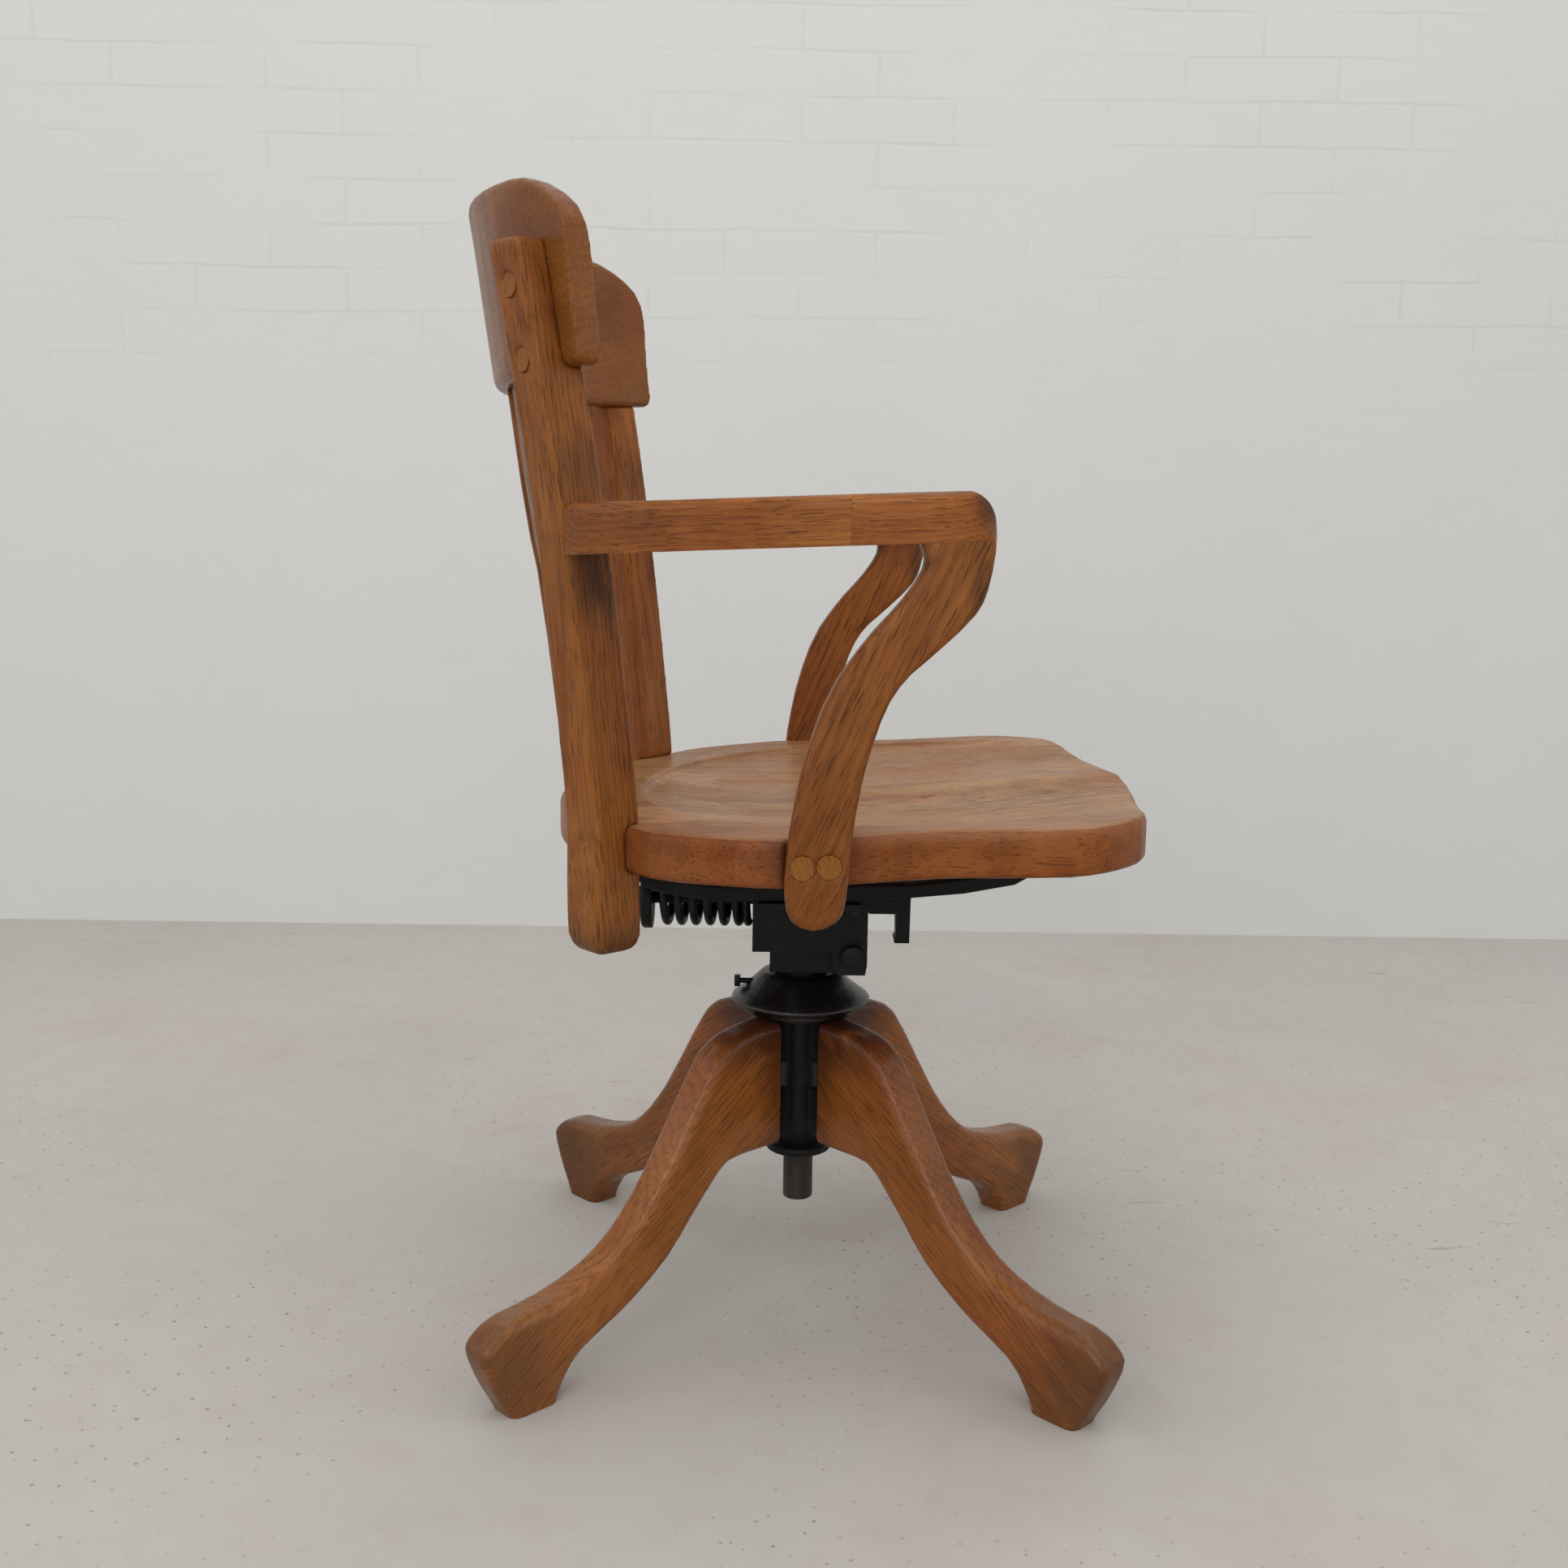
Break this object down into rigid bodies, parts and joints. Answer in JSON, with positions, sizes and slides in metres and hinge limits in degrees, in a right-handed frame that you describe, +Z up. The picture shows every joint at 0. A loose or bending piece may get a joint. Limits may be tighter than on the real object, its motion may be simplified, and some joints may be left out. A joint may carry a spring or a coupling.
{
  "type": "swivel desk chair",
  "caption": "Wooden armchair with saddled seat, bent back, tilting spring mechanism and a screw-height swivel on a four-legged base.",
  "frame": {"origin": "on the floor, under the swivel axis, which runs through the middle of the chair's overall box", "axes": "+Z up along the swivel axis, -Y towards the front of the chair, +X towards the sitter's left"},
  "size_m": [0.5838, 0.5321, 0.901],
  "materials": {
    "oak_frame": "oiled golden oak, satin",
    "oak_seat": "worn and waxed oak",
    "oak_legs": "dark oiled oak, worn edges",
    "oak_block": "oiled oak, darker by handling",
    "oak_plug": "end-cut wooden plug",
    "cast_iron": "old black paint on cast iron",
    "black_steel": "blackened steel",
    "bare_steel": "dark bare steel, dull"
  },
  "bodies": {
    "base": {"leg_rear_left": "oak_legs", "leg_rear_right": "oak_legs", "leg_front_left": "oak_legs", "leg_front_right": "oak_legs", "leg_screw_rear_left": "black_steel", "leg_screw_rear_right": "black_steel", "leg_screw_front_left": "black_steel", "leg_screw_front_right": "black_steel", "hub_column": "cast_iron", "column_nut": "black_steel"},
    "bearing": {"bearing_ring": "bare_steel"},
    "handwheel": {"handwheel": "cast_iron"},
    "set_screw": {"set_screw": "black_steel"},
    "lift": {"spindle": "bare_steel", "hub_casting": "cast_iron", "pivot_pin": "black_steel", "pivot_nut": "black_steel", "anchor_pin": "black_steel"},
    "spring_rod": {"tension_rod": "black_steel", "spring_end_cap": "cast_iron"},
    "tension_nut": {"tension_nut": "black_steel"},
    "seat": {"tilt_yoke": "cast_iron", "front_hook": "cast_iron", "seat_iron_left": "cast_iron", "seat_iron_right": "cast_iron", "tilt_spring": "black_steel", "iron_bolt_front_left": "black_steel", "iron_bolt_rear_left": "black_steel", "seat_screw_front_left": "bare_steel", "seat_screw_rear_left": "bare_steel", "back_post_left": "oak_frame", "armrest_left": "oak_frame", "arm_support_left": "oak_frame", "armrest_front_left": "oak_block", "post_plug_lower_left": "oak_plug", "post_plug_upper_left": "oak_plug", "support_plug_rear_left": "oak_plug", "support_plug_front_left": "oak_plug", "iron_bolt_front_right": "black_steel", "iron_bolt_rear_right": "black_steel", "seat_screw_front_right": "bare_steel", "seat_screw_rear_right": "bare_steel", "back_post_right": "oak_frame", "armrest_right": "oak_frame", "arm_support_right": "oak_frame", "armrest_front_right": "oak_block", "post_plug_lower_right": "oak_plug", "post_plug_upper_right": "oak_plug", "support_plug_rear_right": "oak_plug", "support_plug_front_right": "oak_plug", "seat_board": "oak_seat", "crest_rail": "oak_frame", "back_slat_1": "oak_frame", "back_slat_2": "oak_frame", "back_slat_3": "oak_frame", "back_slat_4": "oak_frame", "back_slat_5": "oak_frame"}
  },
  "joints": [
    {"name": "swivel", "type": "hinge", "parent": "base", "child": "bearing", "pos_m": [0, 0, 0.255], "axis": [0, 0, 1], "continuous": true},
    {"name": "height", "type": "slide", "parent": "bearing", "child": "lift", "axis": [0, 0, 1], "range_m": [0, 0.09]},
    {"name": "wheel_turn", "type": "hinge", "parent": "bearing", "child": "handwheel", "pos_m": [0, 0, 0.265], "axis": [0, 0, 1], "range_deg": [-5115, 0]},
    {"name": "tilt", "type": "hinge", "parent": "lift", "child": "seat", "pos_m": [0, -0.042, 0.3103], "axis": [-1, 0, 0], "range_deg": [0, 10], "stiffness_Nm_per_rad": 130, "springref_deg": -8.02, "deforming": ["tilt_spring"]},
    {"name": "rod_swing", "type": "hinge", "parent": "lift", "child": "spring_rod", "pos_m": [0, -0.042, 0.3495], "axis": [-1, 0, 0], "range_deg": [0, 10]},
    {"name": "tension_turn", "type": "hinge", "parent": "spring_rod", "child": "tension_nut", "pos_m": [0, 0.14, 0.3495], "axis": [0, 1, 0], "continuous": true},
    {"name": "set_screw_turn", "type": "hinge", "parent": "handwheel", "child": "set_screw", "pos_m": [0, 0.055, 0.278], "axis": [0, 1, 0], "range_deg": [0, 360]}
  ],
  "couplings": [
    {"joint": "wheel_turn", "follows": "height", "rad_per_m": -989.48},
    {"joint": "rod_swing", "follows": "tilt", "ratio": 1}
  ]
}
